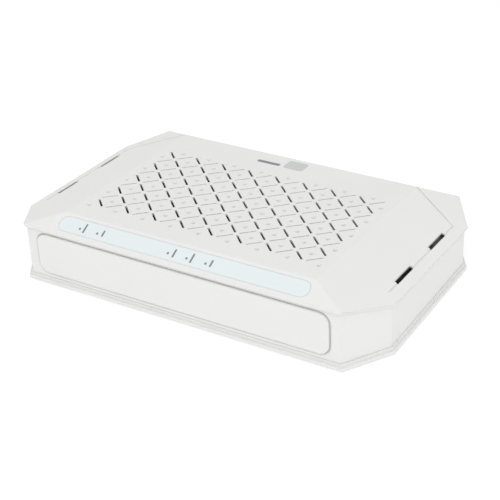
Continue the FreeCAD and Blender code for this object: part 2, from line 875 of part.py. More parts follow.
def dust_cap():
    front = rear_panel_face - 0.1
    z = adapter_middle_z()
    plug = box(fibre_x - fibre_socket_width / 2 + cap_gap, fibre_x + fibre_socket_width / 2 - cap_gap,
               front - cap_plug_depth, front + 0.5, z - fibre_socket_height / 2 + cap_gap,
               z + fibre_socket_height / 2 - cap_gap)
    hollow = rod(fibre_x, z, front - cap_plug_depth - 1.0, front - 2.0, sleeve_radius + cap_sleeve_gap)
    flange = box(fibre_x - cap_flange_width / 2, fibre_x + cap_flange_width / 2, front,
                 front + cap_flange_thickness, z - cap_flange_height / 2, z + cap_flange_height / 2)
    grip = box(fibre_x - cap_grip_width / 2, fibre_x + cap_grip_width / 2, front,
               front + cap_flange_thickness + cap_grip_reach, z - cap_grip_height / 2, z + cap_grip_height / 2)
    return joined([plug.cut(hollow), flange, grip])


def optical_transceiver():
    back = rear_panel_face - 0.1 - adapter_depth
    y = back - module_depth / 2
    body = standing_box(fibre_x, y, (module_width, module_depth, module_height), board_top)
    z = board_top + module_height / 2
    can = rod(fibre_x, z, back - module_depth - module_can_length, back - module_depth + 1.0, module_can_radius)
    return joined([body, can])


def power_axis_z():
    return board_top + power_jack_height - power_bore_radius - 1.6


def power_jack():
    front = rear_panel_back - port_gap
    x = power_jack_x
    body = box(x - power_jack_width / 2, x + power_jack_width / 2, front - power_jack_depth, front, board_top,
               board_top + power_jack_height)
    barrel = rod(x, power_axis_z(), front - 1.0, rear_panel_face - 0.1, power_bore_radius + 0.4)
    bore = rod(x, power_axis_z(), front - power_bore_depth, rear_panel_face + 1.0, power_bore_radius)
    return joined([body, barrel]).cut(bore).Solids[0]


def power_jack_pin():
    start = rear_panel_back - port_gap - power_bore_depth
    pin = rod(power_jack_x, power_axis_z(), start, start + power_pin_length, power_pin_radius)
    return pin


def switch_axis_z():
    return board_top + switch_height / 2


def power_switch():
    front = rear_panel_back - 1.4 - button_travel
    body = box(switch_x - switch_width / 2, switch_x + switch_width / 2, front - switch_depth, front, board_top,
               board_top + switch_height)
    bore = rod(switch_x, switch_axis_z(), front - stem_depth - button_travel - 0.5, front + 1.0,
               stem_radius + stem_gap)
    return body.cut(bore).Solids[0]


def power_button():
    back = rear_panel_back - 1.0
    front = rear_panel_face + button_reach
    cap = rod(switch_x, switch_axis_z(), back, front, button_radius)
    stem = rod(switch_x, switch_axis_z(), back - 0.4 - button_travel - stem_depth, back + 0.5, stem_radius)
    return joined([cap, stem])


def reset_axis_z():
    return board_top + reset_height / 2


def reset_switch():
    front = rear_panel_back - reset_plunger_reach
    y = front - reset_depth / 2
    body = standing_box(reset_x, y, (reset_width, reset_depth, reset_height), board_top)
    pocket = rod(reset_x, reset_axis_z(), front - 2.0 - reset_travel, front + 1.0, reset_plunger_radius + 0.05)
    return body.cut(pocket).Solids[0]


def reset_button():
    front = rear_panel_back - reset_plunger_reach
    return rod(reset_x, reset_axis_z(), front - 2.0, front + 1.2, reset_plunger_radius)


def from_rear(place):
    """Turn an x and a distance in from the board's rear edge into x and y."""
    return place[0], board_rear - place[1]


def processor():
    x, y = from_rear(processor_place)
    return standing_box(x, y, processor_size, board_top)


def thermal_pad():
    size = (processor_size[0] - 1.0, processor_size[1] - 1.0, pad_thickness)
    x, y = from_rear(processor_place)
    return standing_box(x, y, size, board_top + processor_size[2])


def heat_sink():
    x, y = from_rear(processor_place)
    low = board_top + processor_size[2] + pad_thickness
    width, depth, height = heat_sink_size
    parts = [standing_box(x, y, (width, depth, heat_sink_base), low)]
    step = (width - heat_sink_fin) / (heat_sink_fins - 1)
    for index in range(heat_sink_fins):
        fin_x = x - width / 2 + heat_sink_fin / 2 + index * step
        parts.append(standing_box(fin_x, y, (heat_sink_fin, depth, height), low))
    return joined(parts)


def chip(place, size):
    x, y = from_rear(place)
    return standing_box(x, y, size, board_top)


def lan_transformer():
    """One block behind both network jacks, midway between them."""
    x = sum(jack_places) / len(jack_places)
    y = jack_front() - jack_depth - transformer_jack_gap - transformer_size[1] / 2
    return standing_box(x, y, transformer_size, board_top)


def power_coil(index):
    x, y = from_rear(coil_places[index])
    block = standing_box(x, y, coil_size, board_top)
    ring = post(x, y, board_top + coil_size[2] - 0.4, board_top + coil_size[2] + 1.0, coil_top_radius)
    core = post(x, y, board_top + coil_size[2] - 0.4, board_top + coil_size[2] + 1.0, coil_top_radius - 0.8)
    return block.cut(ring.cut(core)).Solids[0]


def capacitor(index):
    x, y = from_rear(capacitor_places[index])
    can = post(x, y, board_top, board_top + capacitor_height, capacitor_radius)
    dish = post(x, y, board_top + capacitor_height - capacitor_dish, board_top + capacitor_height + 1.0,
                capacitor_radius - 0.8)
    return can.cut(dish)


def crystal_can():
    length, depth, height = crystal_size
    x, y = from_rear(crystal_place)
    middle = box(x - length / 2 + depth / 2, x + length / 2 - depth / 2, y - depth / 2, y + depth / 2,
                 board_top, board_top + height)
    ends = [post(end, y, board_top, board_top + height, depth / 2)
            for end in (x - length / 2 + depth / 2, x + length / 2 - depth / 2)]
    return joined([middle] + ends)


def service_header():
    x, y = from_rear(header_place)
    length = header_pins * header_pitch
    parts = [standing_box(x, y, (length, header_block, header_block), board_top)]
    for index in range(header_pins):
        pin_x = x + (index - (header_pins - 1) / 2.0) * header_pitch
        parts.append(standing_box(pin_x, y, (header_pin_side, header_pin_side, header_pin_height), board_top))
    return joined(parts)


def all_nodes():
    nodes = {
        "top_cover": top_cover(),
        "base_tray": base_tray(),
        "front_panel": front_panel(),
        "rear_panel": rear_panel(),
        "led_film": led_film(),
        "rating_label": rating_label(),
        "case_screws": case_screws(),
        "main_board": main_board(),
        "board_screws": board_screws(),
        "light_guide": light_guide(),
        "optical_transceiver": optical_transceiver(),
        "sc_adapter": sc_adapter(),
        "fibre_sleeve": fibre_sleeve(),
        "dust_cap": dust_cap(),
        "lan_transformer": lan_transformer(),
        "power_jack": power_jack(),
        "power_jack_pin": power_jack_pin(),
        "power_switch": power_switch(),
        "power_button": power_button(),
        "reset_switch": reset_switch(),
        "reset_button": reset_button(),
        "processor": processor(),
        "thermal_pad": thermal_pad(),
        "heat_sink": heat_sink(),
        "memory_chip": chip(memory_place, memory_size),
        "flash_chip": chip(flash_place, flash_size),
        "laser_driver": chip(laser_driver_place, laser_driver_size),
        "voltage_regulator": chip(regulator_place, regulator_size),
        "crystal": crystal_can(),
        "service_header": service_header(),
    }
    for index, name in enumerate(("front_left", "rear_left", "front_right", "rear_right")):
        nodes["rubber_foot_" + name] = rubber_foot(index)
    for index in range(len(indicator_places)):
        nodes["status_led_%d" % (index + 1)] = status_led(index)
    for index in range(len(jack_places)):
        nodes["lan_jack_%d" % (index + 1)] = lan_jack(index)
        nodes["lan_contacts_%d" % (index + 1)] = lan_contacts(index)
    for index in range(len(coil_places)):
        nodes["power_coil_%d" % (index + 1)] = power_coil(index)
    for index in range(len(capacitor_places)):
        nodes["capacitor_%d" % (index + 1)] = capacitor(index)
    return nodes


def main():
    os.makedirs("parts", exist_ok=True)
    for name, shape in all_nodes().items():
        shape.exportStep(os.path.join("parts", name + ".step"))
        size = shape.BoundBox
        print("%-22s %3d solid(s) %8.2f mm3  x %.2f..%.2f  y %.2f..%.2f  z %.2f..%.2f" % (
            name, len(shape.Solids), shape.Volume, size.XMin, size.XMax, size.YMin, size.YMax,
            size.ZMin, size.ZMax))


main()
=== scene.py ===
# %% [markdown]
# # A white desktop fibre terminal
#
# The real object is a flat, eight-sided box moulded in white ABS. Its lid has a flat middle with a lattice
# of vent slits, sloping wings, a tinted indicator strip at the front and sockets at the back.
# Every hard piece already has its true shape and place in the fixed frame, so it could be rebuilt here,
# but a second copy would only drift from the first. The frame is loaded as it is, and this lesson adds
# finishes, softened edges, printing, light and a camera.

# %% Load the fixed frame
import bpy
import bmesh
import math
from mathutils import Matrix, Vector


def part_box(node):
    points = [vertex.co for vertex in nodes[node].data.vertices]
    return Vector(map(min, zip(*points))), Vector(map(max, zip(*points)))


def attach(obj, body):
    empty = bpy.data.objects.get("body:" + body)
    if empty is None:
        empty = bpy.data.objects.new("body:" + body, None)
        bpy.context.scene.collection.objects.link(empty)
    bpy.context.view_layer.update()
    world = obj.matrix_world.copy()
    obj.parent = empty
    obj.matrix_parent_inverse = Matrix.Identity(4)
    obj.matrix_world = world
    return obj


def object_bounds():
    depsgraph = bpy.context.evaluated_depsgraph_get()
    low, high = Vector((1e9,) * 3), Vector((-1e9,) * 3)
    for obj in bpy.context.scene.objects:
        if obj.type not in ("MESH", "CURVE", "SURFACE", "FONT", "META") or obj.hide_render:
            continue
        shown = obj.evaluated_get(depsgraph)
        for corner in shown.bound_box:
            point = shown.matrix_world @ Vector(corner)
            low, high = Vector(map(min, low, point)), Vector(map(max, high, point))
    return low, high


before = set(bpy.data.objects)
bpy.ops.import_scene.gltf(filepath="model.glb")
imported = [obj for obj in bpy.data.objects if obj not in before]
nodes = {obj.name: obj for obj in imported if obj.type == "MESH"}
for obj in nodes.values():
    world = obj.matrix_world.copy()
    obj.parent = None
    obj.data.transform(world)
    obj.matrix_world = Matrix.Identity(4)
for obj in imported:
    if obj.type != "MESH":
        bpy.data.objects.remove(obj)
cad_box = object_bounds()
MM = 0.001

# %% [markdown]
# ## The camera
#
# The box is seen from a little above and from its right front corner, with a long lens, so its parallel
# edges hardly converge. A camera could be aimed with a Track To constraint, but this one also leans a
# little to one side, so its three axes are worked out and written straight into its matrix.

# %% Aim the camera
CAMERA_AZIMUTH = math.radians(32.03)
CAMERA_ELEVATION = math.radians(30.216)
CAMERA_LEAN = math.radians(-2.543)
CAMERA_DISTANCE = 544.949 * MM
CAMERA_SLIDE = (1.783 * MM, -8.504 * MM)
AIM_POINT = Vector((0.0, 0.0, 15.0 * MM))
SENSOR_WIDTH = 36.0
LENS = 94.03


def aimed_camera():
    """Makes the camera and writes its place and its three axes into its matrix."""
    level = math.cos(CAMERA_ELEVATION)
    back = Vector((math.sin(CAMERA_AZIMUTH) * level, -math.cos(CAMERA_AZIMUTH) * level,
                   math.sin(CAMERA_ELEVATION)))
    right = Vector((math.cos(CAMERA_AZIMUTH), math.sin(CAMERA_AZIMUTH), 0.0))
    above = back.cross(right)
    place = AIM_POINT + back * CAMERA_DISTANCE + right * CAMERA_SLIDE[0] + above * CAMERA_SLIDE[1]
    lean_right = right * math.cos(CAMERA_LEAN) + above * math.sin(CAMERA_LEAN)
    lean_above = above * math.cos(CAMERA_LEAN) - right * math.sin(CAMERA_LEAN)
    data = bpy.data.cameras.new("camera")
    data.lens = LENS
    data.sensor_width = SENSOR_WIDTH
    data.clip_start = 0.02
    camera = bpy.data.objects.new("camera", data)
    bpy.context.scene.collection.objects.link(camera)
    axes = Matrix((lean_right, lean_above, back)).transposed().to_4x4()
    camera.matrix_world = Matrix.Translation(place) @ axes
    return camera


bpy.context.scene.camera = aimed_camera()
print("camera at", [round(value, 4) for value in bpy.context.scene.camera.matrix_world.translation])

# %% [markdown]
# ## Two small helpers for finishes
#
# A finish starts from a colour that a maker would write as a hex value. Shaders work in linear light, so
# one function turns the hex into linear numbers. Nodes could each be made and wired by hand over several
# lines, but one function that adds a node with its settings and links keeps every finish short to read.

# %% Colours and shader nodes
def linear(hex_colour):
    """Turns an sRGB hex colour into the linear colour that shaders use."""
    shares = [int(hex_colour[start:start + 2], 16) / 255 for start in (1, 3, 5)]
    return tuple(share / 12.92 if share <= 0.04045 else ((share + 0.055) / 1.055) ** 2.4
                 for share in shares) + (1.0,)


def add_node(material, kind, settings=None, sockets=None):
    """Adds one shader node, sets its properties, and fills its sockets with values or links."""
    node = material.node_tree.nodes.new(kind)
    for name, value in (settings or {}).items():
        setattr(node, name, value)
    for name, value in (sockets or {}).items():
        if isinstance(value, bpy.types.NodeSocket):
            material.node_tree.links.new(value, node.inputs[name])
        else:
            node.inputs[name].default_value = value
    return node


def empty_material(name):
    """A material with no nodes yet."""
    material = bpy.data.materials.new(name)
    material.use_nodes = True
    material.node_tree.nodes.clear()
    return material


def finish_with(material, shader):
    """Sends the shader to the material's surface."""
    add_node(material, "ShaderNodeOutputMaterial", None, {"Surface": shader.outputs[0]})
    return material


def per_metre(size_mm):
    """The scale that makes one cell of a pattern the given size."""
    return 1.0 / (size_mm * MM)


print("white in linear light:", [round(value, 3) for value in linear("#E6E6E4")])

# %% [markdown]
# ## Spark-eroded white ABS
#
# The lid and the tray are injection moulded in white ABS. The mould is spark eroded, which leaves a very
# fine even grain that spreads every highlight, so the box looks soft and chalky rather than glossy.
# The grain could be modelled, but it is a tenth of a millimetre across, so a bump does it. Real grain is
# too fine to show, so it is drawn at 0.45 mm. The thick white moulding also varies a little in tone over a
# few centimetres, and light passes half a millimetre into it, which softens the edges of the slits.
# A Bevel node rounds its edges as the mould does, less round the vents, which have sharper corners.
# The dimples and grooves of the vents get painted shade: an Ambient Occlusion node finds them and darkens
# their colour towards grey.

# %% Textured white ABS
ABS_IOR = 1.54
ABS_CLOUD_MM = 32.0
GRAIN_HEIGHT_MM = 0.06
GLOSS_SPREAD = 0.05
ABS_GLOW = 0.3
ABS_GLOW_DEPTH_MM = 0.5
ABS_GLOW_BY_COLOUR = (1.0, 0.95, 0.9)
HOLLOW_REACH_MM = 1.6
# Grey of the painted shade laid into the vents' dimples and grooves, and how much of it.
HOLLOW_SHADE_HEX = "#6E6E6C"
HOLLOW_SHADE_SHARE = 0.27
VENT_FIELD_HALF = (56.0, 36.0)
SLOT_LINE = (76.5, 81.0)
FINE_EDGE_MM = 0.12


def fine_places(material, place):
    """Two masks: one over the vents alone, and one over the vents and the wing slots."""
    part = add_node(material, "ShaderNodeSeparateXYZ", None, {"Vector": place}).outputs
    x = add_node(material, "ShaderNodeMath", {"operation": "ABSOLUTE"}, {0: part["X"]}).outputs[0]
    y = add_node(material, "ShaderNodeMath", {"operation": "ABSOLUTE"}, {0: part["Y"]}).outputs[0]
    tests = [("LESS_THAN", x, VENT_FIELD_HALF[0]), ("GREATER_THAN", x, SLOT_LINE[0]),
             ("LESS_THAN", x, SLOT_LINE[1]), ("LESS_THAN", y, VENT_FIELD_HALF[1])]
    inside, beyond, short, near = [
        add_node(material, "ShaderNodeMath", {"operation": operation}, {0: value, 1: limit * MM}).outputs[0]
        for operation, value, limit in tests]
    slots = add_node(material, "ShaderNodeMath", {"operation": "MULTIPLY"}, {0: beyond, 1: short}).outputs[0]
    either = add_node(material, "ShaderNodeMath", {"operation": "MAXIMUM"}, {0: inside, 1: slots}).outputs[0]
    return [add_node(material, "ShaderNodeMath", {"operation": "MULTIPLY"}, {0: area, 1: near}).outputs[0]
            for area in (inside, either)]


def white_abs(name, light_hex, shade_hex, roughness, grain_mm, grain_bump, edge_mm):
    """White ABS: a slow change of tone, painted shade in the vent hollows, a fine grain in the bump and the
    gloss, and rounded edges.
    """
    material = empty_material(name)
    place = add_node(material, "ShaderNodeTexCoord").outputs["Object"]
    cloud = add_node(material, "ShaderNodeTexNoise", None,
                     {"Vector": place, "Scale": per_metre(ABS_CLOUD_MM), "Detail": 3.0, "Roughness": 0.45})
    tone = add_node(material, "ShaderNodeMix", {"data_type": "RGBA"},
                    {"Factor": cloud.outputs["Fac"], 6: linear(shade_hex), 7: linear(light_hex)})
    # Painted shade: ambient occlusion darkens the colour in the vents' dimples and grooves towards grey.
    hollow = add_node(material, "ShaderNodeAmbientOcclusion", {"samples": 8, "only_local": True},
                      {"Distance": HOLLOW_REACH_MM * MM})
    depth = add_node(material, "ShaderNodeMapRange", None,
                     {"Value": hollow.outputs["AO"], "From Min": 0.7, "From Max": 0.95,
                      "To Min": HOLLOW_SHADE_SHARE, "To Max": 0.0})
    vents, fine = fine_places(material, place)
    vent_shade = add_node(material, "ShaderNodeMath", {"operation": "MULTIPLY"},
                    {0: depth.outputs["Result"], 1: vents})
    shaded_tone = add_node(material, "ShaderNodeMix", {"data_type": "RGBA"},
                      {"Factor": vent_shade.outputs[0], 6: tone.outputs[2], 7: linear(HOLLOW_SHADE_HEX)})
    grain = add_node(material, "ShaderNodeTexNoise", None,
                     {"Vector": place, "Scale": per_metre(grain_mm), "Detail": 2.0, "Roughness": 0.6})
    gloss = add_node(material, "ShaderNodeMapRange", None,
                     {"Value": grain.outputs["Fac"], "From Min": 0.3, "From Max": 0.7,
                      "To Min": roughness - GLOSS_SPREAD, "To Max": roughness + GLOSS_SPREAD})
    radius = add_node(material, "ShaderNodeMapRange", None,
                      {"Value": fine, "To Min": edge_mm * MM, "To Max": FINE_EDGE_MM * MM})
    edge = add_node(material, "ShaderNodeBevel", {"samples": 6}, {"Radius": radius.outputs["Result"]})
    bump = add_node(material, "ShaderNodeBump", None,
                    {"Height": grain.outputs["Fac"], "Strength": grain_bump, "Distance": GRAIN_HEIGHT_MM * MM,
                     "Normal": edge.outputs["Normal"]})
    shader = add_node(material, "ShaderNodeBsdfPrincipled", None,
                      {"Base Color": shaded_tone.outputs[2], "Roughness": gloss.outputs["Result"],
                       "IOR": ABS_IOR, "Subsurface Weight": ABS_GLOW,
                       "Subsurface Scale": ABS_GLOW_DEPTH_MM * MM,
                       "Subsurface Radius": ABS_GLOW_BY_COLOUR, "Normal": bump.outputs["Normal"]})
    return finish_with(material, shader)


textured_white_abs = white_abs("spark_eroded_white_abs", "#E5E5E4", "#E1E1E0", 0.46, 0.45, 0.35, 0.55)
print("made", textured_white_abs.name)

# %% [markdown]
# ## Satin white ABS
#
# The blank front panel and the rear panel are smaller mouldings from a smoother tool.
# They are the same plastic with less grain, so they show a slightly tighter sheen beside the lid.

# %% Satin white ABS
satin_white_abs = white_abs("satin_white_abs", "#E5E5E4", "#E2E2E1", 0.36, 0.6, 0.15, 0.35)
print("made", satin_white_abs.name)

# %% [markdown]
# ## Tinted polyester film
#
# The strip over the indicators is a thin polyester film, printed pale blue on its underside. The clear
# top face has a fine velvet texture, so it is smoother than the ABS but not a mirror. It could be one pale
# colour, but a real print is a screen of fine dots in a slightly uneven ink, so a faint cloud and a dot
# screen are mixed in. A real screen is about 0.17 mm; it is drawn at 0.4 mm so that it shows up close.

# %% Pale blue film
DOT_SPACING_MM = 0.4
POLYESTER_IOR = 1.6


def tinted_film():
    """Pale blue printed film with a dot screen and a smooth clear face."""
    material = empty_material("pale_blue_polyester_film")
    place = add_node(material, "ShaderNodeTexCoord").outputs["Object"]
    screen = add_node(material, "ShaderNodeTexVoronoi", None,
                      {"Vector": place, "Scale": per_metre(DOT_SPACING_MM), "Randomness": 0.15})
    ink = add_node(material, "ShaderNodeMapRange", None,
                   {"Value": screen.outputs["Distance"], "From Min": 0.1, "From Max": 0.6})
    cloud = add_node(material, "ShaderNodeTexNoise", None,
                     {"Vector": place, "Scale": per_metre(9.0), "Detail": 2.0})
    blend = add_node(material, "ShaderNodeMath", {"operation": "MULTIPLY"},
                     {0: ink.outputs["Result"], 1: cloud.outputs["Fac"]})
    tint = add_node(material, "ShaderNodeMix", {"data_type": "RGBA"},
                    {"Factor": blend.outputs[0], 6: linear("#DCE4E6"), 7: linear("#E1E8EA")})
    velvet = add_node(material, "ShaderNodeTexNoise", None,
                      {"Vector": place, "Scale": per_metre(0.5), "Detail": 1.0})
    bump = add_node(material, "ShaderNodeBump", None,
                    {"Height": velvet.outputs["Fac"], "Strength": 0.12, "Distance": 0.03 * MM})
    shader = add_node(material, "ShaderNodeBsdfPrincipled", None,
                      {"Base Color": tint.outputs[2], "Roughness": 0.27, "IOR": POLYESTER_IOR,
                       "Coat Weight": 0.25, "Coat Roughness": 0.2, "Normal": bump.outputs["Normal"]})
    return finish_with(material, shader)


pale_blue_film = tinted_film()
print("made", pale_blue_film.name)

# %% [markdown]
# ## Plain moulded plastics and rubbers
#
# Sockets, buttons, feet and caps are small dark or bright mouldings. They could each have a recipe of
# their own, but nylon, polycarbonate, PVC and silicone differ mostly in colour, gloss and grain, so one
# recipe with those three as its inputs makes them all, and each still has its own tone and surface.

# %% Moulded plastics
def moulded(name, light_hex, shade_hex, roughness, grain_mm, ior, edge_mm=0.2, bump_strength=0.3):
    """A moulded plastic or rubber with a mottled tone, a grain, and rounded edges."""
    material = empty_material(name)
    place = add_node(material, "ShaderNodeTexCoord").outputs["Object"]
    cloud = add_node(material, "ShaderNodeTexNoise", None,
                     {"Vector": place, "Scale": per_metre(5.0), "Detail": 4.0})
    tone = add_node(material, "ShaderNodeMix", {"data_type": "RGBA"},
                    {"Factor": cloud.outputs["Fac"], 6: linear(shade_hex), 7: linear(light_hex)})
    grain = add_node(material, "ShaderNodeTexNoise", None,
                     {"Vector": place, "Scale": per_metre(grain_mm), "Detail": 2.0})
    gloss = add_node(material, "ShaderNodeMapRange", None,
                     {"Value": grain.outputs["Fac"], "From Min": 0.3, "From Max": 0.7,
                      "To Min": roughness - 0.07, "To Max": roughness + 0.07})
    edge = add_node(material, "ShaderNodeBevel", {"samples": 4}, {"Radius": edge_mm * MM})
    bump = add_node(material, "ShaderNodeBump", None,
                    {"Height": grain.outputs["Fac"], "Strength": bump_strength, "Distance": 0.05 * MM,
                     "Normal": edge.outputs["Normal"]})
    shader = add_node(material, "ShaderNodeBsdfPrincipled", None,
                      {"Base Color": tone.outputs[2], "Roughness": gloss.outputs["Result"], "IOR": ior,
                       "Normal": bump.outputs["Normal"]})
    return finish_with(material, shader)


# Glass-filled nylon of the network and power sockets: deep black with a faint fibrous sheen.
black_nylon = moulded("black_glass_filled_nylon", "#26272A", "#17181A", 0.42, 0.3, 1.53)
# ABS of the power button: charcoal, smooth from being pressed.
charcoal_abs = moulded("charcoal_abs", "#4A4C50", "#3C3E42", 0.38, 0.4, ABS_IOR)
# Polycarbonate of the fibre adapter, in the green that marks an angled plug.
green_polycarbonate = moulded("green_polycarbonate", "#2F9A57", "#24824A", 0.3, 0.6, 1.58)
# Soft PVC of the dust cap: waxy black with a blurred shine.
soft_black_pvc = moulded("soft_black_pvc", "#2C2C2E", "#202022", 0.55, 0.5, 1.52, 0.3)
# Silicone rubber of the feet: dull mid grey.
grey_silicone = moulded("grey_silicone_rubber", "#75777A", "#66686B", 0.72, 0.35, 1.41, 0.4, 0.5)
# Red polycarbonate of the pin button.
red_plunger = moulded("red_polycarbonate", "#B8332B", "#9C2820", 0.33, 0.4, 1.58)
# Epoxy moulding compound of the chips: almost black, with a fine matte sand.
black_epoxy = moulded("black_epoxy_moulding", "#2B2C2E", "#1E1F21", 0.6, 0.15, 1.55, 0.12, 0.5)
# Ferrite of the coils: dark grey, dry and slightly gritty.
grey_ferrite = moulded("grey_ferrite", "#4B4C4E", "#38393B", 0.7, 0.2, 1.6, 0.15, 0.6)
# Gap pad under the heat sink: soft grey-blue silicone.
thermal_silicone = moulded("thermal_silicone_pad", "#8C9AAA", "#7D8B9B", 0.75, 0.5, 1.41, 0.1, 0.4)
# Zirconia of the fibre sleeve: ivory ceramic with a glassy polish.
zirconia = moulded("polished_zirconia", "#F1EDE0", "#E8E3D4", 0.16, 0.5, 2.1, 0.1, 0.05)
print("materials so far:", [material.name for material in bpy.data.materials])

# %% [markdown]
# ## Plated and drawn metals
#
# Screws are zinc-plated steel, contacts are gold over nickel, the heat sink is an extrusion. Plating
# follows the fine scratches of the metal below it, so the gloss of each one varies in short streaks.
# Streaks could run round each screw head, but at this size a noise stretched along one axis reads the same.

# %% Metals
def plated(name, light_hex, shade_hex, roughness, streak_mm, stretch=(1.0, 6.0, 1.0)):
    """A metal whose tone and gloss vary in short streaks along one axis."""
    material = empty_material(name)
    place = add_node(material, "ShaderNodeTexCoord").outputs["Object"]
    drawn = add_node(material, "ShaderNodeMapping", None, {"Vector": place, "Scale": stretch})
    streak = add_node(material, "ShaderNodeTexNoise", None,
                      {"Vector": drawn.outputs["Vector"], "Scale": per_metre(streak_mm), "Detail": 5.0})
    tone = add_node(material, "ShaderNodeMix", {"data_type": "RGBA"},
                    {"Factor": streak.outputs["Fac"], 6: linear(shade_hex), 7: linear(light_hex)})
    gloss = add_node(material, "ShaderNodeMapRange", None,
                     {"Value": streak.outputs["Fac"], "From Min": 0.3, "From Max": 0.7,
                      "To Min": roughness - 0.08, "To Max": roughness + 0.1})
    bump = add_node(material, "ShaderNodeBump", None,
                    {"Height": streak.outputs["Fac"], "Strength": 0.15, "Distance": 0.02 * MM})
    shader = add_node(material, "ShaderNodeBsdfPrincipled", None,
                      {"Base Color": tone.outputs[2], "Roughness": gloss.outputs["Result"],
                       "Metallic": 1.0, "Normal": bump.outputs["Normal"]})
    return finish_with(material, shader)


# Bright zinc on screws: pale blue-grey and satin.
zinc_plate = plated("zinc_plated_steel", "#D2D4D6", "#B4B7BA", 0.34, 0.8)
# Gold over nickel on the contact wires.
gold_plate = plated("gold_plated_bronze", "#E6C27A", "#D4A95B", 0.24, 0.5)
# Nickel on the centre pin of the power socket.
nickel_plate = plated("nickel_plated_brass", "#D9D3C4", "#C3BBA8", 0.26, 0.5)
# Tin-plated steel of the transceiver body and the crystal can.
tin_plate = plated("tin_plated_steel", "#CDCECE", "#B2B3B4", 0.32, 1.2)
# Mill-finish extruded aluminium of the heat sink, drawn along its fins.
extruded_aluminium = plated("extruded_aluminium", "#D0D1D3", "#B3B5B8", 0.4, 1.5, (4.0, 0.5, 4.0))
print("metals:", [m.name for m in (zinc_plate, gold_plate, nickel_plate, tin_plate)])

# %% [markdown]
# ## Clear mouldings
#
# The light guide is clear acrylic and each lamp has a small clear epoxy lens. Transmission in the
# Principled shader makes both. A trace of haze keeps them from looking like empty air.

# %% Clear acrylic and lamp lenses
def clear_moulding(name, tint_hex, haze, ior):
    """A clear plastic with a slightly uneven, hazy face."""
    material = empty_material(name)
    place = add_node(material, "ShaderNodeTexCoord").outputs["Object"]
    ripple = add_node(material, "ShaderNodeTexNoise", None,
                      {"Vector": place, "Scale": per_metre(1.5), "Detail": 2.0})
    gloss = add_node(material, "ShaderNodeMapRange", None,
                     {"Value": ripple.outputs["Fac"], "To Min": haze * 0.6, "To Max": haze * 1.4})
    bump = add_node(material, "ShaderNodeBump", None,
                    {"Height": ripple.outputs["Fac"], "Strength": 0.1, "Distance": 0.05 * MM})
    shader = add_node(material, "ShaderNodeBsdfPrincipled", None,
                      {"Base Color": linear(tint_hex), "Roughness": gloss.outputs["Result"],
                       "IOR": ior, "Transmission Weight": 0.9, "Normal": bump.outputs["Normal"]})
    return finish_with(material, shader)


clear_acrylic = clear_moulding("clear_acrylic", "#F2F6F7", 0.12, 1.49)
lamp_epoxy = clear_moulding("clear_lamp_epoxy", "#E9F2E2", 0.2, 1.54)
print("clear mouldings:", clear_acrylic.name, lamp_epoxy.name)

# %% [markdown]
# ## The green circuit board
#
# The board is glass-fibre laminate under green solder mask. Copper tracks below the mask show as paler
# lines, and they run straight or at right angles. They could be drawn one by one as curves, but nobody can
# follow them through the vents, so a brick pattern gives the broken runs and a second one crosses it.

# %% Solder mask over copper tracks
TRACK_SPACING_MM = 1.6
TRACK_WIDTH_MM = 0.25


def solder_mask():
    """Green mask, paler where broken straight tracks run under it."""
    material = empty_material("green_solder_mask")
    place = add_node(material, "ShaderNodeTexCoord").outputs["Object"]
    across = add_node(material, "ShaderNodeMapping", None,
                      {"Vector": place, "Rotation": (0.0, 0.0, math.radians(90.0))})
    lines = []
    for source in (place, across.outputs["Vector"]):
        brick = add_node(material, "ShaderNodeTexBrick", {"offset": 0.37},
                         {"Vector": source, "Scale": 1.0, "Mortar Size": TRACK_WIDTH_MM * MM,
                          "Brick Width": 17.0 * MM, "Row Height": TRACK_SPACING_MM * MM,
                          "Mortar Smooth": 0.1})
        lines.append(brick.outputs["Fac"])
    tracks = add_node(material, "ShaderNodeMath", {"operation": "MAXIMUM"}, {0: lines[0], 1: lines[1]})
    patch = add_node(material, "ShaderNodeTexNoise", None,
                     {"Vector": place, "Scale": per_metre(14.0), "Detail": 1.0})
    area = add_node(material, "ShaderNodeMath", {"operation": "GREATER_THAN"},
                    {0: patch.outputs["Fac"], 1: 0.5})
    shown = add_node(material, "ShaderNodeMath", {"operation": "MULTIPLY"},
                     {0: tracks.outputs[0], 1: area.outputs[0]})
    tone = add_node(material, "ShaderNodeMix", {"data_type": "RGBA"},
                    {"Factor": shown.outputs[0], 6: linear("#0E4A26"), 7: linear("#1D7A41")})
    bump = add_node(material, "ShaderNodeBump", None,
                    {"Height": shown.outputs[0], "Strength": 0.5, "Distance": 0.035 * MM})
    shader = add_node(material, "ShaderNodeBsdfPrincipled", None,
                      {"Base Color": tone.outputs[2], "Roughness": 0.3, "IOR": 1.5,
                       "Normal": bump.outputs["Normal"]})
    return finish_with(material, shader)


green_mask = solder_mask()
print("made", green_mask.name)

# %% [markdown]
# ## Capacitors
#
# Each one is a drawn aluminium can in a shrunk plastic sleeve, with bare metal at the top. Two pieces
# could be modelled, but the sleeve is 0.1 mm thick, so the height of the point on the can decides whether
# it is sleeve or metal.

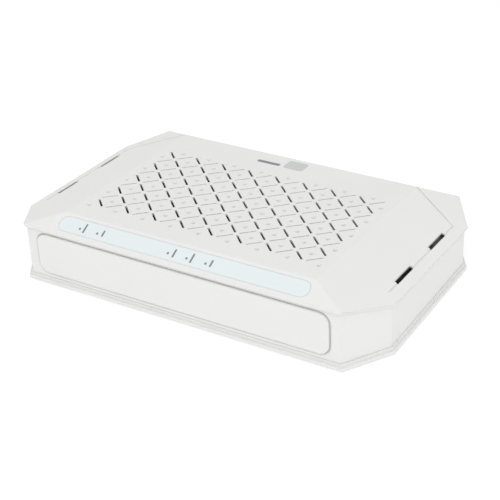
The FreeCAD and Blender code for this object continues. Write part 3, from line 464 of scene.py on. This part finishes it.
# %% Sleeved can
def sleeved_can():
    """Dark blue sleeve with bare metal above it."""
    material = empty_material("sleeved_aluminium_can")
    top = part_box("capacitor_1")[1].z
    place = add_node(material, "ShaderNodeTexCoord").outputs["Object"]
    height = add_node(material, "ShaderNodeSeparateXYZ", None, {"Vector": place})
    bare = add_node(material, "ShaderNodeMath", {"operation": "GREATER_THAN"},
                    {0: height.outputs["Z"], 1: top - 0.5 * MM})
    mottle = add_node(material, "ShaderNodeTexNoise", None,
                      {"Vector": place, "Scale": per_metre(2.0), "Detail": 3.0})
    sleeve = add_node(material, "ShaderNodeMix", {"data_type": "RGBA"},
                      {"Factor": mottle.outputs["Fac"], 6: linear("#1F2747"), 7: linear("#2A3459")})
    tone = add_node(material, "ShaderNodeMix", {"data_type": "RGBA"},
                    {"Factor": bare.outputs[0], 6: sleeve.outputs[2], 7: linear("#C9CBCE")})
    shader = add_node(material, "ShaderNodeBsdfPrincipled", None,
                      {"Base Color": tone.outputs[2], "Metallic": bare.outputs[0], "Roughness": 0.35})
    return finish_with(material, shader)


can_finish = sleeved_can()
print("made", can_finish.name)

# %% [markdown]
# ## Blank label stock
#
# Under the tray is a silver-white polyester label. A real one carries print, which is left out here, so
# only the stock shows: a smooth film with a faint satin streak and a very slight unevenness.

# %% Label stock
label_stock = moulded("satin_polyester_label", "#DFE1E2", "#D3D5D7", 0.3, 0.8, 1.6, 0.05, 0.1)
print("made", label_stock.name)

# %% Give each piece its finish
FINISHES = {
    "top_cover": textured_white_abs, "base_tray": textured_white_abs,
    "front_panel": satin_white_abs, "rear_panel": satin_white_abs,
    "led_film": pale_blue_film, "rating_label": label_stock,
    "case_screws": zinc_plate, "board_screws": zinc_plate,
    "main_board": green_mask, "light_guide": clear_acrylic,
    "optical_transceiver": tin_plate, "sc_adapter": green_polycarbonate, "fibre_sleeve": zirconia,
    "dust_cap": soft_black_pvc, "lan_transformer": black_epoxy, "lan_jack": black_nylon,
    "lan_contacts": gold_plate, "power_jack_pin": nickel_plate, "power_jack": black_nylon,
    "power_switch": black_nylon, "power_button": charcoal_abs, "reset_switch": black_nylon,
    "reset_button": red_plunger, "processor": black_epoxy, "thermal_pad": thermal_silicone,
    "heat_sink": extruded_aluminium, "memory_chip": black_epoxy, "flash_chip": black_epoxy,
    "laser_driver": black_epoxy, "voltage_regulator": black_epoxy, "crystal": tin_plate,
    "service_header": black_nylon, "rubber_foot": grey_silicone, "status_led": lamp_epoxy,
    "power_coil": grey_ferrite, "capacitor": can_finish,
}


def finish_of(node_name):
    """The finish of the longest name that the node's name starts with."""
    matches = [key for key in FINISHES if node_name.startswith(key)]
    return FINISHES[max(matches, key=len)]


for node_name, node in nodes.items():
    node.data.materials.clear()
    node.data.materials.append(finish_of(node_name))
print("finished", len(nodes), "nodes")

# %% [markdown]
# ## Edges
#
# No moulding has a knife edge. The large shell gets its rounding in the shader, because its hundreds of
# slit edges would tangle a modifier. The smaller pieces get a Bevel modifier, which is real geometry and
# so changes their outline too.

# %% Round the small mouldings
EDGE_RADII_MM = {
    "front_panel": 0.4, "dust_cap": 0.35, "power_button": 0.4,
    "rubber_foot": 0.3, "power_switch": 0.2, "processor": 0.12, "heat_sink": 0.12,
    "memory_chip": 0.1, "flash_chip": 0.1, "laser_driver": 0.08, "voltage_regulator": 0.1,
    "lan_transformer": 0.2, "capacitor": 0.3, "power_coil": 0.2, "crystal": 0.3,
    "reset_switch": 0.1, "reset_button": 0.15, "optical_transceiver": 0.2,
}
SHARP_TURN = math.radians(35.0)
for node_name, node in nodes.items():
    widths = [EDGE_RADII_MM[key] for key in EDGE_RADII_MM if node_name.startswith(key)]
    if widths:
        rounding = node.modifiers.new("rounded_edges", "BEVEL")
        rounding.width = widths[0] * MM
        rounding.segments = 3
        rounding.limit_method = "ANGLE"
        rounding.angle_limit = SHARP_TURN
print("rounded", sum(1 for node in nodes.values() if node.modifiers), "nodes")

# %% [markdown]
# ## Printed marks
#
# The real box has screen-printed marks beside its lamps and near the back of its lid. Here they are plain
# shapes with no lettering. They could be painted in the shader, but a print is a thin layer of ink with an
# edge of its own, so each one is a thin plate, and every point of it is dropped straight down on the
# surface that carries it.

# %% Ink finishes
def screen_ink(name, hex_colour, thin_hex):
    """Screen ink: a slightly uneven layer with pinholes too fine to see one by one."""
    material = empty_material(name)
    place = add_node(material, "ShaderNodeTexCoord").outputs["Object"]
    uneven = add_node(material, "ShaderNodeTexNoise", None,
                      {"Vector": place, "Scale": per_metre(0.5), "Detail": 3.0})
    tone = add_node(material, "ShaderNodeMix", {"data_type": "RGBA"},
                    {"Factor": uneven.outputs["Fac"], 6: linear(hex_colour), 7: linear(thin_hex)})
    shader = add_node(material, "ShaderNodeBsdfPrincipled", None,
                      {"Base Color": tone.outputs[2], "Roughness": 0.5, "IOR": 1.5})
    return finish_with(material, shader)


dark_ink = screen_ink("mid_grey_screen_ink", "#77797C", "#8B8D90")
pale_ink = screen_ink("pale_grey_screen_ink", "#BFC0C1", "#CBCCCD")
print("inks:", dark_ink.name, pale_ink.name)

# %% Drop a flat outline on a surface
INK_THICKNESS = 0.03 * MM


def rounded_outline(width, depth, corner, steps=5):
    """Points round a rectangle with rounded corners, centred on zero."""
    points = []
    for quarter, (x, y) in enumerate(((1, 1), (-1, 1), (-1, -1), (1, -1))):
        for step in range(steps + 1):
            angle = math.pi / 2 * (quarter + step / steps)
            points.append((x * (width / 2 - corner) + corner * math.cos(angle),
                           y * (depth / 2 - corner) + corner * math.sin(angle)))
    return points


def surface_under(node_name, x, y):
    """The highest point of a node above x, y, and which way the surface faces there."""
    start = Vector((x, y, cad_box[1].z + 5 * MM))
    hit, place, facing, _ = nodes[node_name].ray_cast(start, Vector((0, 0, -1)))
    if not hit:
        raise ValueError("nothing under the mark at %.4f, %.4f" % (x, y))
    return place, facing


def new_piece(name, mesh_maker, material):
    """Turns a filled bmesh into an object with one finish."""
    mesh = bpy.data.meshes.new(name)
    mesh_maker.normal_update()
    mesh_maker.to_mesh(mesh)
    mesh_maker.free()
    mesh.materials.append(material)
    piece = bpy.data.objects.new(name, mesh)
    bpy.context.scene.collection.objects.link(piece)
    return piece


def ink_plate(name, node_name, middle, outline, material):
    """A thin plate of ink that lies on a node."""
    maker = bmesh.new()
    low, high = [], []
    for x, y in outline:
        place, facing = surface_under(node_name, middle[0] + x, middle[1] + y)
        low.append(maker.verts.new(place + facing * 0.002 * MM))
        high.append(maker.verts.new(place + facing * INK_THICKNESS))
    maker.faces.new(high)
    maker.faces.new(low[::-1])
    for index in range(len(outline)):
        after = (index + 1) % len(outline)
        maker.faces.new((low[index], low[after], high[after], high[index]))
    piece = new_piece(name, maker, material)
    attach(piece, "housing")
    return piece


# %% Lamp windows and the plain bars beside them
LAMP_WINDOW_RADIUS = 0.5 * MM
BAR_WIDTH = 0.8 * MM
BAR_LENGTHS_MM = [4.0, 2.7, 3.5, 3.9, 2.9]
BAR_OFFSETS_MM = [2.2, 2.6, 2.6, 2.2, 2.3]
BAR_FORWARD = 0.6 * MM
lamp_names = sorted(name for name in nodes if name.startswith("status_led"))
for number, lamp_name in enumerate(lamp_names):
    low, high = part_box(lamp_name)
    middle = (low + high) / 2
    circle = rounded_outline(2 * LAMP_WINDOW_RADIUS, 2 * LAMP_WINDOW_RADIUS, LAMP_WINDOW_RADIUS)
    ink_plate("lamp_window_%d" % (number + 1), "led_film", (middle.x, middle.y), circle, dark_ink)
    length = BAR_LENGTHS_MM[number] * MM
    bar = rounded_outline(BAR_WIDTH, length, 0.3 * MM)
    ink_plate("lamp_bar_%d" % (number + 1), "led_film",
              (middle.x + BAR_OFFSETS_MM[number] * MM, middle.y + BAR_FORWARD), bar, dark_ink)
print("lamp marks:", 2 * len(lamp_names))

# %% Plain marks near the back of the lid
LID_BAR = (11.0 * MM, 2.0 * MM)
LID_BAR_MIDDLE = (-8.5 * MM, 35.6 * MM)
LID_PATCH = (9.5 * MM, 7.5 * MM)
LID_PATCH_MIDDLE = (3.6 * MM, 38.0 * MM)
ink_plate("lid_bar", "top_cover", LID_BAR_MIDDLE,
          rounded_outline(LID_BAR[0], LID_BAR[1], 0.6 * MM), dark_ink)
ink_plate("lid_patch", "top_cover", LID_PATCH_MIDDLE,
          rounded_outline(LID_PATCH[0], LID_PATCH[1], 1.5 * MM), pale_ink)
print("lid marks: 2")

# %% [markdown]
# ## The studio
#
# The box stands on a white sweep in bright, even light, so shadows are faint and every facet differs from
# the next by only a few tones. Three hard lamps would break that, so the world itself is the main light,
# the floor glows, and two large soft panels tip the balance towards the front. The floor's paper is a mid
# grey that glows, because a white one would show a darker shadow beside the box.

# %% Floor
FLOOR_SIZE = 60.0
FLOOR_GLOW = 0.53


def studio_floor():
    """A pale floor with a trace of paper texture, which also gives off a little light."""
    material = empty_material("white_paper_sweep")
    place = add_node(material, "ShaderNodeTexCoord").outputs["Object"]
    fibre = add_node(material, "ShaderNodeTexNoise", None,
                     {"Vector": place, "Scale": per_metre(60.0), "Detail": 2.0})
    tone = add_node(material, "ShaderNodeMix", {"data_type": "RGBA"},
                    {"Factor": fibre.outputs["Fac"], 6: linear("#BABABA"), 7: linear("#BEBEBE")})
    shader = add_node(material, "ShaderNodeBsdfPrincipled", None,
                      {"Base Color": tone.outputs[2], "Roughness": 0.9, "Specular IOR Level": 0.1,
                       "Emission Color": (1.0, 1.0, 1.0, 1.0), "Emission Strength": FLOOR_GLOW})
    finish_with(material, shader)
    maker = bmesh.new()
    half = FLOOR_SIZE / 2
    maker.faces.new([maker.verts.new((x, y, 0.0))
                     for x, y in ((-half, -half), (half, -half), (half, half), (-half, half))])
    floor = new_piece("studio_floor", maker, material)
    return floor


studio_floor()
print("floor", FLOOR_SIZE, "m wide")

# %% Lights
def soft_panel(name, place, size, power):
    """A large square light that faces the middle of the box."""
    data = bpy.data.lights.new(name, "AREA")
    data.shape = "SQUARE"
    data.size = size
    data.energy = power
    lamp = bpy.data.objects.new(name, data)
    lamp.location = place
    lamp.rotation_mode = "QUATERNION"
    lamp.rotation_quaternion = (Vector(place) - AIM_POINT).to_track_quat("Z", "Y")
    bpy.context.scene.collection.objects.link(lamp)


WORLD_STRENGTH = 0.82
FRONT_PANEL = {"place": (0.45, -0.825, 1.185), "size": 1.0, "power": 7.0}
RIGHT_PANEL = {"place": (1.6, 0.3, 0.9), "size": 1.2, "power": 0.2}
world = bpy.data.worlds.new("white_studio")
bpy.context.scene.world = world
world.use_nodes = True
world.node_tree.nodes["Background"].inputs["Color"].default_value = (1.0, 1.0, 1.0, 1.0)
world.node_tree.nodes["Background"].inputs["Strength"].default_value = WORLD_STRENGTH
soft_panel("front_panel_light", **FRONT_PANEL)
soft_panel("right_panel_light", **RIGHT_PANEL)
bpy.context.scene.view_settings.view_transform = "Standard"
print("world strength", WORLD_STRENGTH)
